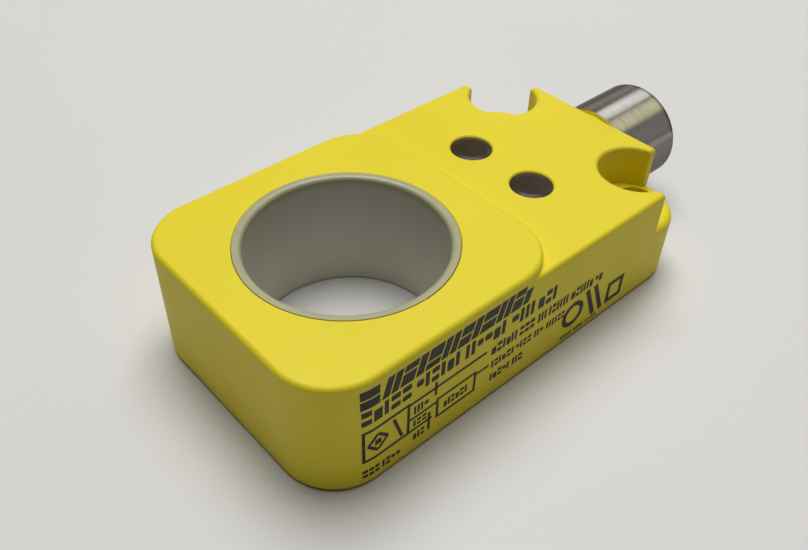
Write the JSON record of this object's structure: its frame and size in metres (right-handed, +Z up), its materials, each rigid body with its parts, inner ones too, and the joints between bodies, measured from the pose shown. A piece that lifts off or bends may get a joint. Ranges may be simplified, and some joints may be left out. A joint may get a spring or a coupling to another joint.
{
  "type": "inductive ring sensor",
  "caption": "Rectangular inductive proximity sensor with a lined through bore, a stepped top with indicator windows, corner screw seats and a round metal plug at the rear.",
  "frame": {"origin": "on the axis of the through bore, at the underside", "axes": "+X from the bore to the plug, +Z up out of the bore on the side of the indicator windows, +Y across the width"},
  "size_m": [0.0625, 0.03, 0.014],
  "materials": {
    "housing": "yellow, fine moulded texture",
    "ring_liner": "warm grey, satin",
    "base_cover": "yellow, fine moulded texture",
    "coil_bobbin": "natural",
    "sensing_coil": "enamelled copper winding",
    "shield_ring": "bare copper strip",
    "circuit_board": "green solder mask",
    "chip_body": "black mould compound",
    "capacitor": "ceramic",
    "resistor": "ceramic with a black film",
    "led": "clear",
    "lens": "dark smoked",
    "connector_shell": "nickel plated",
    "contact_carrier": "black",
    "contact_pin": "gold plated",
    "wire": "insulated",
    "coil_wire": "enamelled copper",
    "potting": "cast resin"
  },
  "bodies": {
    "root": {"housing": "housing", "ring_liner": "ring_liner", "base_cover": "base_cover", "coil_bobbin": "coil_bobbin", "sensing_coil": "sensing_coil", "shield_ring": "shield_ring", "circuit_board": "circuit_board", "controller_chip": "chip_body", "output_transistor": "chip_body", "voltage_regulator": "chip_body", "protection_diode": "chip_body", "filter_capacitor": "capacitor", "tank_capacitor": "capacitor", "chip_resistors": "resistor", "led_power": "led", "led_output": "led", "lens_power": "lens", "lens_output": "lens", "connector_shell": "connector_shell", "contact_carrier": "contact_carrier", "contact_pin_1": "contact_pin", "contact_pin_2": "contact_pin", "contact_pin_3": "contact_pin", "contact_pin_4": "contact_pin", "pin_lead_1": "wire", "pin_lead_2": "wire", "pin_lead_3": "wire", "pin_lead_4": "wire", "coil_lead_a": "coil_wire", "coil_lead_b": "coil_wire", "potting_compound": "potting"}
  },
  "joints": []
}
